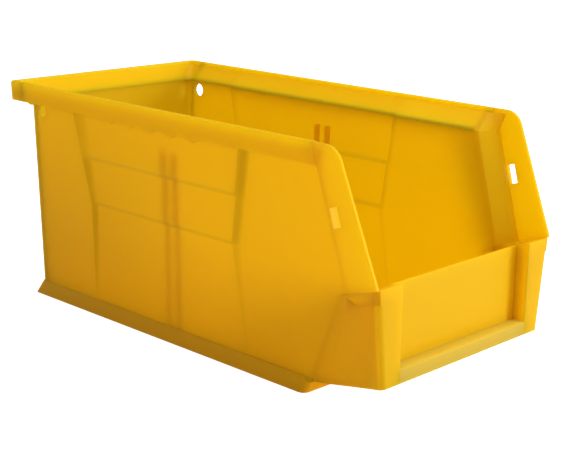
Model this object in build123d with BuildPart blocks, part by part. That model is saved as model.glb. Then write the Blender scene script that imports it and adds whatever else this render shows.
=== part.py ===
from build123d import *
import os
from math import atan, cos, pi, radians, sin, tan

os.makedirs("parts", exist_ok=True)

# Stackable storage bin with an open hopper front, millimetres.
# X is across the bin, -Y is the open front, +Z is up.
# The origin is the middle of the footprint, on the resting plane.
# Names ending in "left" are on the -X side; the right side is its mirror image.

# --- driving dimensions -----------------------------------------------------
LENGTH = 276.2
WIDTH = 139.7
HEIGHT = 127.0
WALL = 2.0

FRONT_Y = -LENGTH / 2
REAR_Y = LENGTH / 2

# Top rim: the wall flares out to a flat top strip, then a lip hangs down outside.
LIP_THICK = 2.4
LIP_HEIGHT = 10.5
RIM_ROOT_Z = HEIGHT - LIP_HEIGHT
RIM_STRIP = 3.6
RIM_ROUND = 0.9
BEAD_Z = HEIGHT - 2.0
LIP_CORNER = 4.0
SIDE_DRAFT = 1.73

# Finger grip: a row of tips below the lip with a scallop between each pair.
GRIP_TIPS = 5
GRIP_PITCH = 16.4
GRIP_CENTRE_Y = 14.6
GRIP_DEPTH = 2.2
GRIP_TIP_HALF = 0.9

# Tub: the rear wall stands inboard of the lip, and its corners are rounded.
REAR_WALL_Y = REAR_Y - 7.0
WALL_CORNER = 5.0
REAR_SPLIT_Y = 125.0

# Side wall, three zones, as half widths over the outside of the wall.
# The rear zone is outermost, then the centre, then the front.
BASE_Z = 8.0
REAR_ZONE_X = (56.4, 60.6)
FRONT_ZONE_X = (56.0, 56.4)
# The centre zone is terraced: (bottom z, half width at bottom, half width at top).
TERRACES = ((BASE_Z, 56.2, 56.9), (63.5, 57.7, 57.9), (88.8, 58.7, 58.9))
TERRACE_STEP = 3.0
STEP_SLICES = 3
# Edges of the two slanted bands between the zones: (z, y).
REAR_BAND_BACK = ((BASE_Z, 78.0), (63.5, 77.5), (RIM_ROOT_Z, 91.0))
REAR_BAND_FRONT = ((BASE_Z, 74.5), (63.5, 73.5), (RIM_ROOT_Z, 79.5))
FRONT_BAND_BACK = ((BASE_Z, -44.5), (63.5, -34.5), (RIM_ROOT_Z, -40.5))
FRONT_BAND_FRONT = ((BASE_Z, -47.5), (63.5, -39.5), (RIM_ROOT_Z, -46.5))

HANGER_HOLE_D = 8.0
HANGER_HOLE_Y = REAR_Y - 18.5
HANGER_HOLE_Z = 110.9

# Hopper front: the cheeks lean back from the top of the front box.
FRONT_TOP_Z = 65.7
LEDGE_SLOPE = 0.30
CHEEK_TOP_Y = -113.3
CHEEK_ROUND = 10.0
CHEEK_REAR_Y = -103.6
CHEEK_REAR_SLOPE = 0.31
WEB_Y = -99.3
WEB_SLOPE = 0.273
WEB_THICK = 2.0
WEB_RETURN = 3.0
# A ridge runs down the web, this share of the way from wall to cheek.
RIDGE_SHARE = 0.63
RIDGE_RISE = 2.8
# At the rim the web sweeps forward, to close over its own top.
WEB_CAP_Y = -107.0
SLOT_SIZE = (4.7, 10.0)
SLOT_CENTRE = (-113.4, 94.4)
SLOT_TILT = -17.0

# Front box: a label recess between two columns and a bottom bar.
FRONT_HALF_TOP = 68.0
FRONT_HALF_BOTTOM = 61.6
FRONT_BOTTOM_Z = 17.5
RECESS_HALF = 49.0
RECESS_DEPTH = 7.5
RECESS_FLOOR_Z = 24.5
COLUMN_ROUND = 2.5
EDGE_ROUND = 0.7
# The quarter panel leaves the wall along a slanting line and flares to the front corner.
QUARTER_Z = 57.0
QUARTER_TOP_Y = -108.0
QUARTER_FOOT_Y = -90.0
QUARTER_ROUND = 8.0
SHELF_DEPTH = 7.0

# Base: a flat floor, a ramp up to the front, and a flared skirt that stacks.
FLOOR_Z = 5.5
RAMP_Y = -87.0
SKIRT_HALF = 58.8
SKIRT_REAR_Y = 135.3
SKIRT_CORNER = 4.0

# Divider guide: a pair of ribs on the inside of each side wall.
GUIDE_CENTRE_Y = 10.5
GUIDE_PITCH = 8.0
GUIDE_RIB = 2.0
GUIDE_TOP_Z = 104.0
GUIDE_X = (53.2, 54.3)

# Web across the hollow of the lip at each rear corner.
GUSSET_DROP = 3.4

OVERLAP = 1.0

# --- derived values ---------------------------------------------------------
HALF_WIDTH = WIDTH / 2
RIM_IN = HALF_WIDTH - RIM_STRIP
LIP_IN = HALF_WIDTH - LIP_THICK
PANEL_Y = FRONT_Y + RECESS_DEPTH
RAMP_SLOPE = (FRONT_BOTTOM_Z - FLOOR_Z) / (RAMP_Y - FRONT_Y)

SIDE_PLANE = Plane(
    origin=(-HALF_WIDTH, 0, HEIGHT),
    x_dir=(0, 1, 0),
    z_dir=(cos(radians(SIDE_DRAFT)), 0, sin(radians(SIDE_DRAFT))),
)


def along(points, z):
    """Value at height z on a line through (height, value) points, held past its ends."""
    for (z0, v0), (z1, v1) in zip(points, points[1:]):
        if z <= z1:
            return v0 + (v1 - v0) * max(z - z0, 0) / (z1 - z0)
    return points[-1][1]


def centre_x(z):
    """Half width over the terraced centre zone."""
    tops = [start for start, _, _ in TERRACES[1:]] + [RIM_ROOT_Z]
    below = None
    for (start, x0, x1), top in zip(TERRACES, tops):
        if z <= top:
            x = x0 + (x1 - x0) * max(z - start, 0) / (top - start)
            if below is not None and z < start + TERRACE_STEP:
                rise = sin(pi / 2 * (z - start) / TERRACE_STEP)
                return below + (x - below) * rise
            return x
        below = x1
    return TERRACES[-1][2]


def rear_x(z):
    return along(((BASE_Z, REAR_ZONE_X[0]), (RIM_ROOT_Z, REAR_ZONE_X[1])), z)


def front_x(z):
    return along(((BASE_Z, FRONT_ZONE_X[0]), (RIM_ROOT_Z, FRONT_ZONE_X[1])), z)


def side_inset(z):
    """How far the drafted outer side stands in from the full width at height z."""
    return (HEIGHT - z) * tan(radians(SIDE_DRAFT))


def web_y(z):
    """Front face of the web where it leaves the wall."""
    return WEB_Y - WEB_SLOPE * (RIM_ROOT_Z - z)


def cheek_y(z):
    """Front face of the web where it meets the cheek."""
    return CHEEK_REAR_Y - CHEEK_REAR_SLOPE * (RIM_ROOT_Z - z)


def cheek_rear_y(z):
    """Rear edge of the cheek, flush with the back of the web."""
    return cheek_y(z) + WEB_THICK


def ledge_z(y):
    """Sloping top of the front box."""
    return FRONT_TOP_Z - LEDGE_SLOPE * (y - FRONT_Y)


def ramp_z(y):
    """Underside of the ramp."""
    return FLOOR_Z + RAMP_SLOPE * (RAMP_Y - y)


def front_half(z):
    """Half width of the front face."""
    rise = (z - FRONT_BOTTOM_Z) / (FRONT_TOP_Z - FRONT_BOTTOM_Z)
    return FRONT_HALF_BOTTOM + (FRONT_HALF_TOP - FRONT_HALF_BOTTOM) * rise


# Stretches of the wall's outline that are the soft bands between the zones.
BANDS = (1, 3)

WEB_FOOT_Y = web_y(QUARTER_Z) + WEB_RETURN
CHEEK_FOOT_Y = cheek_rear_y(QUARTER_Z)


def wall_front_y(z):
    return web_y(max(z, QUARTER_Z)) + WEB_RETURN


def quarter_start(z):
    """Where the quarter panel leaves the side wall."""
    return QUARTER_FOOT_Y + (QUARTER_TOP_Y - QUARTER_FOOT_Y) * (z - BASE_Z) / (QUARTER_Z - BASE_Z)


def quarter_slope(z):
    run = quarter_start(z) - FRONT_Y - QUARTER_ROUND / 2
    return (front_half(z) - front_x(z)) / run


def box_side_x(z, y):
    """Half width over the straight part of the front box's side."""
    return front_half(z) - quarter_slope(z) * (y - FRONT_Y)


def strip(z, points, inner_points=None, curved=()):
    """A thin horizontal section of a side, between its outer outline and its inner one."""
    inner_points = inner_points or [(x + WALL, y) for x, y in points]
    with BuildSketch(Plane.XY.offset(z)) as section:
        with BuildLine():
            for path in (points, inner_points):
                for index, (start, end) in enumerate(zip(path, path[1:])):
                    if index in curved:
                        TangentArc(end, start, tangent=(0, start[1] - end[1]))
                    else:
                        Line(start, end)
            Line(points[0], inner_points[0])
            Line(points[-1], inner_points[-1])
        make_face()
    return section.sketch


def wall_points(z):
    """Outside of the left wall at height z, from rear to front."""
    return [
        (-rear_x(z), REAR_SPLIT_Y),
        (-rear_x(z), along(REAR_BAND_BACK, z)),
        (-centre_x(z), along(REAR_BAND_FRONT, z)),
        (-centre_x(z), along(FRONT_BAND_BACK, z)),
        (-front_x(z), along(FRONT_BAND_FRONT, z)),
        (-front_x(z), wall_front_y(z)),
    ]


def rounded_u(z, outer, inner):
    """A horizontal U-shaped section, open to the front, from two (half width, y, radius)."""
    with BuildSketch(Plane.XY.offset(z)) as section:
        with BuildLine():
            for half, y, radius in (outer, inner):
                Line((-half, REAR_SPLIT_Y), (-half, y - radius))
                RadiusArc((-half, y - radius), (radius - half, y), radius)
                Line((radius - half, y), (half - radius, y))
                RadiusArc((half - radius, y), (half, y - radius), radius)
                Line((half, y - radius), (half, REAR_SPLIT_Y))
            for side in (-1, 1):
                Line((side * outer[0], REAR_SPLIT_Y), (side * inner[0], REAR_SPLIT_Y))
        make_face()
    return section.sketch


def side_slab(low, high, y0, y1):
    """A prism across the bin between two sloping lines, each given as z at y."""
    with BuildPart() as prism:
        with BuildSketch(Plane.YZ):
            with BuildLine():
                Polyline((y0, low(y0)), (y1, low(y1)), (y1, high(y1)), (y0, high(y0)), close=True)
            make_face()
        extrude(amount=HALF_WIDTH + OVERLAP, both=True)
    return prism.part


def under_floor(y):
    return 0.0


def ramp_top(y):
    return ramp_z(y) + WALL


def under_ledge(y):
    return ledge_z(y) - WALL


def column_block(inset, low, high):
    """The box beside the label recess, drawn in by inset, between two sloping lines."""
    with BuildPart() as block:
        for z in (BASE_Z, FRONT_TOP_Z + OVERLAP):
            with BuildSketch(Plane.XY.offset(z)):
                with BuildLine():
                    Polyline(
                        (inset - box_side_x(z, PANEL_Y), PANEL_Y),
                        (inset - box_side_x(z, FRONT_Y + inset), FRONT_Y + inset),
                        (-RECESS_HALF - inset, FRONT_Y + inset),
                        (-RECESS_HALF - inset, PANEL_Y),
                        close=True,
                    )
                make_face()
        loft(ruled=True)
        add(side_slab(low, high, FRONT_Y, RAMP_Y), mode=Mode.INTERSECT)
    return block.part


# --- tub walls --------------------------------------------------------------
step_levels = [
    start + TERRACE_STEP * slice_no / STEP_SLICES
    for start, _, _ in TERRACES[1:]
    for slice_no in range(STEP_SLICES + 1)
]
wall_levels = sorted([FLOOR_Z, BASE_Z, QUARTER_Z, RIM_ROOT_Z] + step_levels)

with BuildPart() as left_side_wall:
    loft([strip(level, wall_points(level), curved=BANDS) for level in wall_levels], ruled=True)
    add(side_slab(under_floor, ramp_z, FRONT_Y, RAMP_Y), mode=Mode.SUBTRACT)
    # The quarter panel takes over in front of this line.
    with BuildSketch(Plane.YZ):
        with BuildLine():
            quarter_top = under_ledge(QUARTER_TOP_Y)
            Polyline(
                (quarter_start(0), 0),
                (quarter_start(quarter_top), quarter_top),
                (FRONT_Y, under_ledge(FRONT_Y)),
                (FRONT_Y, 0),
                close=True,
            )
        make_face()
    extrude(amount=WIDTH, both=True, mode=Mode.SUBTRACT)
    with Locations((-REAR_ZONE_X[1], HANGER_HOLE_Y, HANGER_HOLE_Z)):
        Cylinder(HANGER_HOLE_D / 2, 6 * WALL, rotation=(0, 90, 0), mode=Mode.SUBTRACT)

with BuildPart() as rear_wall:
    loft(
        [
            rounded_u(
                level,
                (rear_x(level), REAR_WALL_Y, WALL_CORNER),
                (rear_x(level) - WALL, REAR_WALL_Y - WALL, WALL_CORNER - WALL),
            )
            for level in (FLOOR_Z, BASE_Z, RIM_ROOT_Z)
        ],
        ruled=True,
    )

# --- cheeks ------------------------------------------------------------------
# The drafted plate's inner top edge, not its outer one, reaches the full height.
cheek_top = -LIP_THICK * sin(radians(SIDE_DRAFT))
with BuildPart() as left_cheek:
    with BuildSketch(SIDE_PLANE) as cheek:
        with BuildLine():
            Polyline(
                (cheek_rear_y(HEIGHT), cheek_top),
                (CHEEK_TOP_Y, cheek_top),
                (FRONT_Y, FRONT_TOP_Z - HEIGHT),
                (CHEEK_FOOT_Y, ledge_z(CHEEK_FOOT_Y) - HEIGHT),
                close=True,
            )
        make_face()
        fillet(cheek.vertices().sort_by_distance(Vertex(CHEEK_TOP_Y, cheek_top, 0))[0], CHEEK_ROUND)
        with Locations((SLOT_CENTRE[0], SLOT_CENTRE[1] - HEIGHT)):
            Rectangle(*SLOT_SIZE, rotation=SLOT_TILT, mode=Mode.SUBTRACT)
    extrude(amount=LIP_THICK)
    # Round both edges of the top strip and of the leaning front edge.
    long_edges = [
        edge
        for face in left_cheek.faces().sort_by(SortBy.AREA)[-2:]
        for edge in face.outer_wire().edges()
        if edge.center().Z > ledge_z(edge.center().Y) + OVERLAP
        and edge.center().Y < cheek_rear_y(edge.center().Z) - OVERLAP
    ]
    fillet(long_edges, RIM_ROUND)

# --- top rim and rear hang lip ----------------------------------------------
grip_tips = [
    GRIP_CENTRE_Y + GRIP_PITCH * (index - (GRIP_TIPS - 1) / 2) for index in range(GRIP_TIPS)
]
flare_root = wall_points(RIM_ROOT_Z)
flare_ends = [y for _, y in flare_root[:-1]] + [wall_front_y(BEAD_Z)]

with BuildPart() as left_top_rim:
    # The flare, one stretch at a time, from the stepped wall top to the straight bead.
    for index in range(len(flare_root) - 1):
        stretch = flare_ends[index:index + 2]
        loft(
            [
                strip(RIM_ROOT_Z, flare_root[index:index + 2], curved=(0,) if index in BANDS else ()),
                strip(
                    BEAD_Z,
                    [(-LIP_IN, y) for y in stretch],
                    [(-RIM_IN, y) for y in stretch],
                ),
            ],
            ruled=True,
        )
    # The lip, with its grip.
    with BuildSketch(SIDE_PLANE):
        with BuildLine():
            # The lower edge runs forward from tip to tip, with a scallop before each.
            reach = GRIP_PITCH - 2 * GRIP_TIP_HALF
            edge = (grip_tips[0] - GRIP_TIP_HALF - reach / 2, -LIP_HEIGHT)
            Line((cheek_rear_y(RIM_ROOT_Z), -LIP_HEIGHT), edge)
            for index, tip in enumerate(grip_tips):
                start = (tip - GRIP_TIP_HALF, -LIP_HEIGHT - GRIP_DEPTH)
                end = (tip + GRIP_TIP_HALF, -LIP_HEIGHT - GRIP_DEPTH)
                if index == 0:
                    TangentArc(edge, start, tangent=(1, 0))
                else:
                    middle = (start[0] - reach / 2, -LIP_HEIGHT)
                    ThreePointArc(edge, middle, start)
                Line(start, end)
                edge = end
            last = (edge[0] + reach / 2, -LIP_HEIGHT)
            TangentArc(last, edge, tangent=(-1, 0))
            Polyline(
                last, (REAR_SPLIT_Y, -LIP_HEIGHT), (REAR_SPLIT_Y, BEAD_Z - HEIGHT),
                (cheek_rear_y(BEAD_Z), BEAD_Z - HEIGHT),
                (cheek_rear_y(RIM_ROOT_Z), -LIP_HEIGHT),
            )
        make_face()
    extrude(amount=LIP_THICK)
    # The bead: the flat strip on top, with rounded edges.
    with BuildSketch(Plane.XZ.offset(-REAR_SPLIT_Y)) as bead:
        with BuildLine():
            Polyline(
                (-HALF_WIDTH, HEIGHT), (-RIM_IN, HEIGHT), (-RIM_IN, BEAD_Z),
                (side_inset(BEAD_Z) - HALF_WIDTH, BEAD_Z),
                close=True,
            )
        make_face()
        fillet(bead.vertices().sort_by(Axis.Y)[-2:], RIM_ROUND)
    extrude(amount=REAR_SPLIT_Y - cheek_rear_y(BEAD_Z))
    add(left_cheek.part, mode=Mode.SUBTRACT)

with BuildPart() as rear_hang_lip:
    root = REAR_ZONE_X[1]
    inner_corner = WALL_CORNER - WALL
    loft(
        [
            rounded_u(
                RIM_ROOT_Z,
                (root, REAR_WALL_Y, WALL_CORNER),
                (root - WALL, REAR_WALL_Y - WALL, inner_corner),
            ),
            rounded_u(
                BEAD_Z,
                (LIP_IN, REAR_Y - LIP_THICK, LIP_CORNER - LIP_THICK),
                (RIM_IN, REAR_Y - RIM_STRIP, inner_corner),
            ),
        ],
        ruled=True,
    )
    loft(
        [
            rounded_u(
                z,
                (HALF_WIDTH - side_inset(z), REAR_Y - side_inset(z), LIP_CORNER),
                (LIP_IN - side_inset(z), REAR_Y - LIP_THICK - side_inset(z), LIP_CORNER - LIP_THICK),
            )
            for z in (RIM_ROOT_Z, BEAD_Z)
        ],
        ruled=True,
    )
    loft(
        [
            rounded_u(
                z,
                (HALF_WIDTH - side_inset(z), REAR_Y - side_inset(z), LIP_CORNER),
                (RIM_IN, REAR_Y - RIM_STRIP, inner_corner),
            )
            for z in (BEAD_Z, HEIGHT)
        ],
        ruled=True,
    )
    top_edges = rear_hang_lip.faces().sort_by(Axis.Z)[-1].edges()
    fillet(
        [edge for edge in top_edges if edge.center().Y > REAR_SPLIT_Y + inner_corner / 2],
        RIM_ROUND,
    )

# Web across the lip's hollow at each rear corner, with a curved lower edge.
with BuildPart() as left_rim_gusset:
    with BuildSketch(Plane.XZ.offset(-REAR_WALL_Y)):
        with BuildLine():
            lip_point = (-LIP_IN - OVERLAP, RIM_ROOT_Z)
            wall_point = (-REAR_ZONE_X[1], RIM_ROOT_Z - GUSSET_DROP)
            TangentArc(lip_point, wall_point, tangent=(1, 0))
            Polyline(
                wall_point,
                (wall_point[0] + WALL_CORNER, wall_point[1]),
                (wall_point[0] + WALL_CORNER, BEAD_Z),
                (lip_point[0], BEAD_Z),
                lip_point,
            )
        make_face()
    extrude(amount=WALL)
    add([rear_wall.part, rear_hang_lip.part], mode=Mode.SUBTRACT)
    add(left_rim_gusset.solids().sort_by(Axis.X)[0], mode=Mode.REPLACE)

# --- hopper front -----------------------------------------------------------
with BuildPart() as left_cheek_web:
    for z, outer_x, inner_x, front_y in (
        (QUARTER_Z - OVERLAP, front_x(QUARTER_Z), front_x(QUARTER_Z) - WALL, cheek_y(QUARTER_Z)),
        (RIM_ROOT_Z, front_x(RIM_ROOT_Z), front_x(RIM_ROOT_Z) - WALL, cheek_y(RIM_ROOT_Z)),
        (BEAD_Z, LIP_IN, RIM_IN, WEB_CAP_Y),
    ):
        cheek_in = side_inset(z) - LIP_IN
        ridge = (
            -inner_x + RIDGE_SHARE * (cheek_in + inner_x),
            web_y(z) + RIDGE_SHARE * (front_y - web_y(z)) - RIDGE_RISE,
        )
        with BuildSketch(Plane.XY.offset(z)):
            with BuildLine():
                Polyline(
                    (-inner_x, web_y(z) + WEB_RETURN),
                    (-inner_x, web_y(z)),
                    ridge,
                    (cheek_in, front_y),
                    (cheek_in, cheek_rear_y(z)),
                    (-outer_x, web_y(z) + WEB_THICK),
                    (-outer_x, web_y(z) + WEB_RETURN),
                    close=True,
                )
            make_face()
    loft(ruled=True)
    add(side_slab(under_floor, ledge_z, FRONT_Y, RAMP_Y), mode=Mode.SUBTRACT)
    add(left_cheek.part, mode=Mode.SUBTRACT)

with BuildPart() as quarter_panel:
    loft(
        [
            strip(
                z,
                [
                    (-box_side_x(z, PANEL_Y), PANEL_Y),
                    (-front_x(z) - quarter_slope(z) * QUARTER_ROUND / 2, quarter_start(z) - QUARTER_ROUND),
                    (-front_x(z), quarter_start(z)),
                ],
                curved=(1,),
            )
            for z in (BASE_Z, FRONT_TOP_Z + OVERLAP)
        ],
        ruled=True,
    )
    add(side_slab(ramp_z, under_ledge, FRONT_Y, RAMP_Y), mode=Mode.INTERSECT)
    add(left_side_wall.part, mode=Mode.SUBTRACT)

# The corner of the front box: the side panel, and a hollow column beside the recess.
with BuildPart() as left_front_corner:
    add(column_block(0, ramp_z, ledge_z))
    add(column_block(WALL, ramp_top, under_ledge), mode=Mode.SUBTRACT)
    front_edges = left_front_corner.faces().sort_by(Axis.Y)[0].outer_wire().edges()
    fillet(front_edges.sort_by(Axis.X)[0], COLUMN_ROUND)
    front_edges = left_front_corner.faces().sort_by(Axis.Y)[0].outer_wire().edges()
    fillet(front_edges.sort_by(Axis.X)[-1], EDGE_ROUND)
    add(quarter_panel.part)

# Shelf along the foot of the cheek, which dies away into the side of the front box.
ledge_lean = atan(LEDGE_SLOPE)
with BuildPart() as left_front_shelf:
    for drop in (SHELF_DEPTH, 0):
        ledge_plane = Plane(
            origin=(0, FRONT_Y, FRONT_TOP_Z - drop),
            x_dir=(1, 0, 0),
            z_dir=(0, sin(ledge_lean), cos(ledge_lean)),
        )
        wall_x = front_x(ledge_z(WEB_FOOT_Y) - drop)
        panel_x, front_edge_x, round_x, cheek_foot_x = (
            box_side_x(ledge_z(y) - drop, y)
            for y in (PANEL_Y, FRONT_Y, FRONT_Y + COLUMN_ROUND, CHEEK_FOOT_Y)
        )
        outline = [
            (WALL - wall_x, WEB_FOOT_Y),
            (WALL - panel_x, PANEL_Y),
            (2 * WALL - front_edge_x, FRONT_Y),
            (COLUMN_ROUND - front_edge_x, FRONT_Y),
            (-round_x, FRONT_Y + COLUMN_ROUND),
            (-(cheek_foot_x if drop else HALF_WIDTH), CHEEK_FOOT_Y),
            (-wall_x, WEB_FOOT_Y),
        ]
        with BuildSketch(ledge_plane):
            with BuildLine():
                Polyline([(x, (y - FRONT_Y) / cos(ledge_lean)) for x, y in outline], close=True)
            make_face()
    loft(ruled=True)
    split(bisect_by=SIDE_PLANE, keep=Keep.TOP)
    add([left_side_wall.part, left_front_corner.part, left_cheek.part], mode=Mode.SUBTRACT)
    add(left_front_shelf.solids().sort_by(SortBy.VOLUME)[-1], mode=Mode.REPLACE)

with BuildPart() as front_label_panel:
    with BuildSketch(Plane.XY) as footprint:
        with Locations((0, PANEL_Y + WALL / 2)):
            Rectangle(2 * (RECESS_HALF + WALL), WALL)
    extrude(amount=HEIGHT)
    add(side_slab(ramp_top, ledge_z, FRONT_Y, RAMP_Y), mode=Mode.INTERSECT)

with BuildPart() as front_bottom_bar:
    with BuildSketch(Plane.XY):
        with Locations((0, (FRONT_Y + PANEL_Y) / 2)):
            Rectangle(2 * RECESS_HALF, RECESS_DEPTH)
    extrude(amount=RECESS_FLOOR_Z)
    add(side_slab(under_floor, ramp_z, FRONT_Y, RAMP_Y), mode=Mode.SUBTRACT)
    bar_edges = front_bottom_bar.faces().sort_by(Axis.Y)[0].edges().filter_by(Axis.X)
    fillet(bar_edges.sort_by(Axis.Z)[-1], EDGE_ROUND)

# --- floor and base ---------------------------------------------------------
right_side_wall, right_front_corner = (
    mirror(piece.part, about=Plane.YZ, mode=Mode.PRIVATE)
    for piece in (left_side_wall, left_front_corner)
)

with BuildPart() as floor_panel:
    with BuildSketch(Plane.XY.offset(FLOOR_Z)):
        with Locations((0, (RAMP_Y + REAR_WALL_Y - OVERLAP) / 2)):
            Rectangle(2 * (rear_x(BASE_Z) - OVERLAP), REAR_WALL_Y - OVERLAP - RAMP_Y)
    extrude(amount=WALL)
    add([left_side_wall.part, right_side_wall, rear_wall.part], mode=Mode.SUBTRACT)
    add(floor_panel.solids().sort_by(SortBy.VOLUME)[-1], mode=Mode.REPLACE)

with BuildPart() as front_ramp:
    with BuildSketch(Plane.XY):
        with BuildLine():
            edge_x = front_x(BASE_Z) - OVERLAP
            front_edge_x = box_side_x(ramp_top(PANEL_Y), PANEL_Y) - OVERLAP
            Polyline(
                (-edge_x, RAMP_Y),
                (-edge_x, QUARTER_FOOT_Y),
                (-front_edge_x, PANEL_Y),
                (front_edge_x, PANEL_Y),
                (edge_x, QUARTER_FOOT_Y),
                (edge_x, RAMP_Y),
                close=True,
            )
        make_face()
    extrude(amount=FRONT_TOP_Z)
    add(side_slab(ramp_z, ramp_top, FRONT_Y, RAMP_Y), mode=Mode.INTERSECT)
    add(
        [left_side_wall.part, right_side_wall, left_front_corner.part, right_front_corner],
        mode=Mode.SUBTRACT,
    )

# The skirt is one flared ring, cut into its four sides.
with BuildPart() as skirt:
    for inset, top, mode in ((0, BASE_Z, Mode.ADD), (WALL, FLOOR_Z, Mode.SUBTRACT)):
        for z in (0, top):
            half = along(((0, SKIRT_HALF), (BASE_Z, REAR_ZONE_X[0])), z) - inset
            rear = along(((0, SKIRT_REAR_Y), (BASE_Z, REAR_WALL_Y)), z) - inset
            front = RAMP_Y + inset
            with BuildSketch(Plane.XY.offset(z)):
                with Locations((0, (rear + front) / 2)):
                    RectangleRounded(2 * half, rear - front, SKIRT_CORNER - inset)
        loft(ruled=True, mode=mode)
    with BuildSketch(Plane.XY.offset(FLOOR_Z)):
        with Locations((0, (RAMP_Y + REAR_WALL_Y) / 2)):
            Rectangle(2 * (rear_x(BASE_Z) - OVERLAP), REAR_WALL_Y - RAMP_Y)
    extrude(amount=WALL + OVERLAP, mode=Mode.SUBTRACT)
    add([left_side_wall.part, right_side_wall, rear_wall.part], mode=Mode.SUBTRACT)

skirt_middle_y = (RAMP_Y + SKIRT_REAR_Y) / 2
skirt_run = SKIRT_REAR_Y - RAMP_Y - 4 * SKIRT_CORNER
with BuildPart() as left_base_rail:
    add(skirt.part)
    with Locations((-SKIRT_HALF, skirt_middle_y, 0)):
        Box(4 * SKIRT_CORNER, skirt_run, 4 * BASE_Z, mode=Mode.INTERSECT)

with BuildPart() as rear_base_rail:
    add(skirt.part)
    with Locations((0, skirt_middle_y + skirt_run, 0)):
        Box(WIDTH, skirt_run, 4 * BASE_Z, mode=Mode.INTERSECT)

with BuildPart() as front_base_rail:
    add(skirt.part)
    with Locations((0, skirt_middle_y - skirt_run, 0)):
        Box(WIDTH, skirt_run, 4 * BASE_Z, mode=Mode.INTERSECT)

# --- divider guides ---------------------------------------------------------
with BuildPart() as left_divider_guide:
    for side in (-1, 1):
        rib_y = GUIDE_CENTRE_Y + side * GUIDE_PITCH / 2
        for z, inner_x in zip((FLOOR_Z + WALL, GUIDE_TOP_Z), GUIDE_X):
            with BuildSketch(Plane.XY.offset(z)):
                outer_x = centre_x(z) - OVERLAP
                with Locations((-(inner_x + outer_x) / 2, rib_y)):
                    Rectangle(outer_x - inner_x, GUIDE_RIB)
        loft(ruled=True)
    add(left_side_wall.part, mode=Mode.SUBTRACT)

# --- mirror and write -------------------------------------------------------
left_pieces = {
    "side_wall": left_side_wall,
    "top_rim": left_top_rim,
    "rim_gusset": left_rim_gusset,
    "cheek": left_cheek,
    "cheek_web": left_cheek_web,
    "front_shelf": left_front_shelf,
    "front_corner": left_front_corner,
    "base_rail": left_base_rail,
    "divider_guide": left_divider_guide,
}
pieces = {
    "rear_wall": rear_wall.part,
    "rear_hang_lip": rear_hang_lip.part,
    "front_label_panel": front_label_panel.part,
    "front_bottom_bar": front_bottom_bar.part,
    "floor_panel": floor_panel.part,
    "front_ramp": front_ramp.part,
    "rear_base_rail": rear_base_rail.part,
    "front_base_rail": front_base_rail.part,
}
for name, piece in left_pieces.items():
    pieces[f"left_{name}"] = piece.part
    pieces[f"right_{name}"] = mirror(piece.part, about=Plane.YZ, mode=Mode.PRIVATE)

for name, shape in pieces.items():
    shape.label = name
    export_step(shape, f"parts/{name}.step")
    print(name, round(shape.volume, 1), shape.is_valid, len(shape.solids()))
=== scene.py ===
from math import cos, radians, sin

import bpy
from mathutils import Matrix, Vector


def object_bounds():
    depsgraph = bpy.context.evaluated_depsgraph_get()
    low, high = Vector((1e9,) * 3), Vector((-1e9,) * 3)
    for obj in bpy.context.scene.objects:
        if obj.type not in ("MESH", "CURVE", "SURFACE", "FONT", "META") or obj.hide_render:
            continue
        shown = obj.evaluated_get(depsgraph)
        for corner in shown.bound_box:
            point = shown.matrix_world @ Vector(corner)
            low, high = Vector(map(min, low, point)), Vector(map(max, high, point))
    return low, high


# A translucent storage bin, metres. -Y is the open front, +Z is up.
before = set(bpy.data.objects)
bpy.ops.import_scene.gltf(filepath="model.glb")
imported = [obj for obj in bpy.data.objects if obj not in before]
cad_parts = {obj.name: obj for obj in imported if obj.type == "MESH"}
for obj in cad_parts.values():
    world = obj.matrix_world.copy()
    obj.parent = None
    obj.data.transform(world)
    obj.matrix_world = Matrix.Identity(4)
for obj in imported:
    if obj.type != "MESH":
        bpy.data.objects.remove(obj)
cad_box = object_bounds()

# --- material -----------------------------------------------------------------
# Each colour set: the skin, the skin where the pigment is densest, and the light passed through.
# The bin is one plastic. The rim, the bar and the foot have sets of their own only as painted light
# and shade, to match how they show under studio light.
WALL_COLOURS = ((0.93, 0.78, 0.015), (0.9, 0.74, 0.012), (0.96, 0.69, 0.0))
# The rim's set is paler and passes more light: a painted glow on the rim.
RIM_PAINTED_LIGHT_COLOURS = ((0.97, 0.78, 0.01), (0.94, 0.74, 0.008), (1.0, 0.8, 0.0))
RIM_PARTS = ("top_rim", "hang_lip", "gusset")
# The bar's set holds more blue: a painted whitish sheen.
BAR_PAINTED_SHEEN_COLOURS = ((0.98, 0.79, 0.13), (0.96, 0.76, 0.12), (1.0, 0.76, 0.02))
# The foot's set is a deeper orange: painted shade.
FOOT_PAINTED_SHADE_COLOURS = ((1.0, 0.52, 0.002), (0.98, 0.49, 0.001), (1.0, 0.6, 0.0))
# The share of light that goes through. It is less at the foot as painted shade.
GLOW_SHARE = 0.68
FOOT_PAINTED_SHADE_GLOW_SHARE = 0.15
SKIN_TINT = (1.0, 0.88, 0.25)
SKIN_IOR = 1.49
ROUGHNESS = (0.36, 0.5)
# Each noise: its scale, and its detail.
PIGMENT_NOISE = (14, 3)
SHINE_NOISE = (60, 4)
GRAIN_NOISE = (1800, 2)
SWAY_NOISE = (22, 1)
# Each bump: its strength, and its depth in metres.
GRAIN_BUMP = (0.12, 0.0002)
SWAY_BUMP = (0.15, 0.002)
# Painted shade: the side walls are darker where they turn out of their plane, at their steps and
# bands: from the first angle, and fully at the second, in radians.
BEND_START = 0.045
BEND_FULL = 0.3
BEND_SKIN_SHADE = 0.96
BEND_GLOW_SHADE = 0.86


def noise(tree, kind, coords):
    node = tree.nodes.new("ShaderNodeTexNoise")
    node.inputs["Scale"].default_value, node.inputs["Detail"].default_value = kind
    tree.links.new(coords, node.inputs["Vector"])
    return node.outputs["Fac"]


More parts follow.
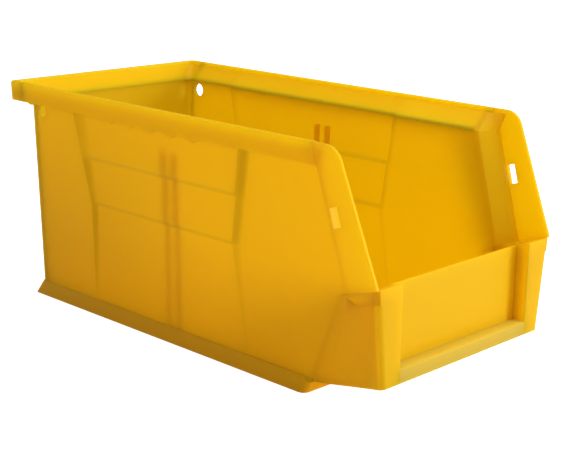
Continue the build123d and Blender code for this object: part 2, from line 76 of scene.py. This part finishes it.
def bump(tree, height, kind):
    node = tree.nodes.new("ShaderNodeBump")
    node.inputs["Strength"].default_value, node.inputs["Distance"].default_value = kind
    tree.links.new(height, node.inputs["Height"])
    return node


def remap(tree, value, low, high):
    node = tree.nodes.new("ShaderNodeMapRange")
    node.inputs["To Min"].default_value = low
    node.inputs["To Max"].default_value = high
    tree.links.new(value, node.inputs["Value"])
    return node.outputs["Result"]


def shaded(tree, colour, amount, shade):
    """The colour, multiplied by shade where amount is 1."""
    node = tree.nodes.new("ShaderNodeMix")
    node.data_type = "RGBA"
    node.inputs["A"].default_value = (*colour, 1)
    node.inputs["B"].default_value = (*(shade * part for part in colour), 1)
    tree.links.new(amount, node.inputs["Factor"])
    return node.outputs["Result"]


def bend(tree):
    """How far the surface leans out of the plane of the side walls, from 0 to 1: the painted shade's
    mask.
    """
    normal = tree.nodes.new("ShaderNodeTexCoord").outputs["Normal"]
    parts = tree.nodes.new("ShaderNodeSeparateXYZ")
    tree.links.new(normal, parts.inputs["Vector"])
    size = tree.nodes.new("ShaderNodeMath")
    size.operation = "ABSOLUTE"
    tree.links.new(parts.outputs["X"], size.inputs["Value"])
    angle = tree.nodes.new("ShaderNodeMath")
    angle.operation = "ARCCOSINE"
    tree.links.new(size.outputs["Value"], angle.inputs["Value"])
    span = tree.nodes.new("ShaderNodeMapRange")
    span.inputs["From Min"].default_value = BEND_START
    span.inputs["From Max"].default_value = BEND_FULL
    tree.links.new(angle.outputs["Value"], span.inputs["Value"])
    return span.outputs["Result"]


def polypropylene(name, colours, glow_share=GLOW_SHARE, painted_step_shade=False):
    """Moulded translucent plastic: a satin skin over a body that lets light through."""
    pale, deep, passed = colours
    material = bpy.data.materials.new(name)
    material.use_nodes = True
    tree = material.node_tree
    tree.nodes.clear()
    coords = tree.nodes.new("ShaderNodeTexCoord").outputs["Object"]

    # The pigment clouds very slightly where the melt flowed.
    tint = tree.nodes.new("ShaderNodeMix")
    tint.data_type = "RGBA"
    tint.inputs["A"].default_value = (*pale, 1)
    tint.inputs["B"].default_value = (*deep, 1)
    tree.links.new(noise(tree, PIGMENT_NOISE, coords), tint.inputs["Factor"])
    glow = tree.nodes.new("ShaderNodeBsdfTranslucent")
    glow.inputs["Color"].default_value = (*passed, 1)
    # Painted shade: the skin and the light passed through darken where the wall turns out of its plane.
    if painted_step_shade:
        painted_shade_mask = bend(tree)
        tree.links.new(shaded(tree, pale, painted_shade_mask, BEND_SKIN_SHADE), tint.inputs["A"])
        tree.links.new(shaded(tree, deep, painted_shade_mask, BEND_SKIN_SHADE), tint.inputs["B"])
        tree.links.new(shaded(tree, passed, painted_shade_mask, BEND_GLOW_SHADE), glow.inputs["Color"])

    # A fine moulded grain, and a skin that is never quite flat.
    grain = bump(tree, noise(tree, GRAIN_NOISE, coords), GRAIN_BUMP)
    sway = bump(tree, noise(tree, SWAY_NOISE, coords), SWAY_BUMP)
    tree.links.new(grain.outputs["Normal"], sway.inputs["Normal"])

    skin = tree.nodes.new("ShaderNodeBsdfPrincipled")
    skin.inputs["IOR"].default_value = SKIN_IOR
    skin.inputs["Specular Tint"].default_value = (*SKIN_TINT, 1)
    tree.links.new(tint.outputs["Result"], skin.inputs["Base Color"])
    shine = remap(tree, noise(tree, SHINE_NOISE, coords), *ROUGHNESS)
    tree.links.new(shine, skin.inputs["Roughness"])
    tree.links.new(sway.outputs["Normal"], skin.inputs["Normal"])

    blend = tree.nodes.new("ShaderNodeMixShader")
    blend.inputs["Fac"].default_value = glow_share
    tree.links.new(skin.outputs["BSDF"], blend.inputs[1])
    tree.links.new(glow.outputs["BSDF"], blend.inputs[2])
    output = tree.nodes.new("ShaderNodeOutputMaterial")
    tree.links.new(blend.outputs["Shader"], output.inputs["Surface"])
    return material


plain = polypropylene("plain", WALL_COLOURS)
painted_step_shade = polypropylene("painted_step_shade", WALL_COLOURS, painted_step_shade=True)
# Painted glow on the rim.
rim = polypropylene("rim", RIM_PAINTED_LIGHT_COLOURS)
# Painted whitish sheen on the bar.
bar = polypropylene("bar", BAR_PAINTED_SHEEN_COLOURS)
# Painted shade on the foot.
foot = polypropylene("foot", FOOT_PAINTED_SHADE_COLOURS, FOOT_PAINTED_SHADE_GLOW_SHARE)
# The first ending that fits a piece's name gives its plastic.
plastics = (("side_wall", painted_step_shade), (RIM_PARTS, rim), ("bottom_bar", bar), ("base_rail", foot))
for name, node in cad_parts.items():
    plastic = next((made for ending, made in plastics if name.endswith(ending)), plain)
    node.data.materials.clear()
    node.data.materials.append(plastic)

# --- floor and backdrop ---------------------------------------------------------
PAPER = 0.8
PAPER_LIFT = 0.9
BACKDROP = 1.0
AMBIENT = 0.34
REACH = 20
FLOOR_GAP = 0.0002


def seen(tree, unseen, shown):
    """One strength for what the camera sees directly, another for the light that it gives."""
    path = tree.nodes.new("ShaderNodeLightPath").outputs["Is Camera Ray"]
    return remap(tree, path, unseen, shown)


def paper():
    """White studio paper, lifted where it is seen so that it stays white up to the horizon."""
    material = bpy.data.materials.new("paper")
    material.use_nodes = True
    tree = material.node_tree
    shader = tree.nodes["Principled BSDF"]
    shader.inputs["Base Color"].default_value = (PAPER, PAPER, PAPER, 1)
    shader.inputs["Roughness"].default_value = 1
    shader.inputs["Specular IOR Level"].default_value = 0
    shader.inputs["Emission Color"].default_value = (1, 1, 1, 1)
    tree.links.new(seen(tree, 0, PAPER_LIFT), shader.inputs["Emission Strength"])
    return material


floor_mesh = bpy.data.meshes.new("floor")
floor_mesh.from_pydata(
    [(-REACH, -REACH, 0), (REACH, -REACH, 0), (REACH, REACH, 0), (-REACH, REACH, 0)], [], [(0, 1, 2, 3)]
)
floor = bpy.data.objects.new("floor", floor_mesh)
floor.location.z = cad_box[0].z - FLOOR_GAP
floor_mesh.materials.append(paper())
bpy.context.scene.collection.objects.link(floor)

# --- light ---------------------------------------------------------------------
centre = (cad_box[0] + cad_box[1]) / 2


def softbox(name, place, size, power):
    """A square lamp at place, pointed at the middle of the bin."""
    lamp = bpy.data.lights.new(name, "AREA")
    lamp.size = size
    lamp.energy = power
    holder = bpy.data.objects.new(name, lamp)
    holder.location = place
    holder.rotation_euler = (centre - Vector(place)).to_track_quat("-Z", "Y").to_euler()
    bpy.context.scene.collection.objects.link(holder)


KEY_PLACE = (0.85, -1.28, 0.4)
KEY_SIZE = 0.6
KEY_POWER = 22
TOP_PLACE = (0.2, -0.1, 1.3)
TOP_SIZE = 0.9
TOP_POWER = 12
softbox("key", KEY_PLACE, KEY_SIZE, KEY_POWER)
softbox("top", TOP_PLACE, TOP_SIZE, TOP_POWER)

world = bpy.data.worlds.new("studio")
world.use_nodes = True
sky = world.node_tree.nodes["Background"].inputs
sky["Color"].default_value = (1, 1, 1, 1)
world.node_tree.links.new(seen(world.node_tree, AMBIENT, BACKDROP), sky["Strength"])
bpy.context.scene.world = world
bpy.context.scene.view_settings.view_transform = "Standard"

# --- camera ----------------------------------------------------------------------
CAMERA_PLACE = (-0.4852, -0.4882, 0.2388)
AZIMUTH = radians(-45.62)
ELEVATION = radians(15.06)
ROLL = radians(0.91)
LENS = 82.95
SENSOR = 36

back = Vector((sin(AZIMUTH) * cos(ELEVATION), -cos(AZIMUTH) * cos(ELEVATION), sin(ELEVATION)))
level = Vector((cos(AZIMUTH), sin(AZIMUTH), 0))
up = back.cross(level)
right = level * cos(ROLL) + up * sin(ROLL)
top = up * cos(ROLL) - level * sin(ROLL)
camera_data = bpy.data.cameras.new("camera")
camera_data.lens = LENS
camera_data.sensor_width = SENSOR
camera = bpy.data.objects.new("camera", camera_data)
camera.matrix_world = Matrix.Translation(CAMERA_PLACE) @ Matrix((right, top, back)).transposed().to_4x4()
bpy.context.scene.collection.objects.link(camera)
bpy.context.scene.camera = camera
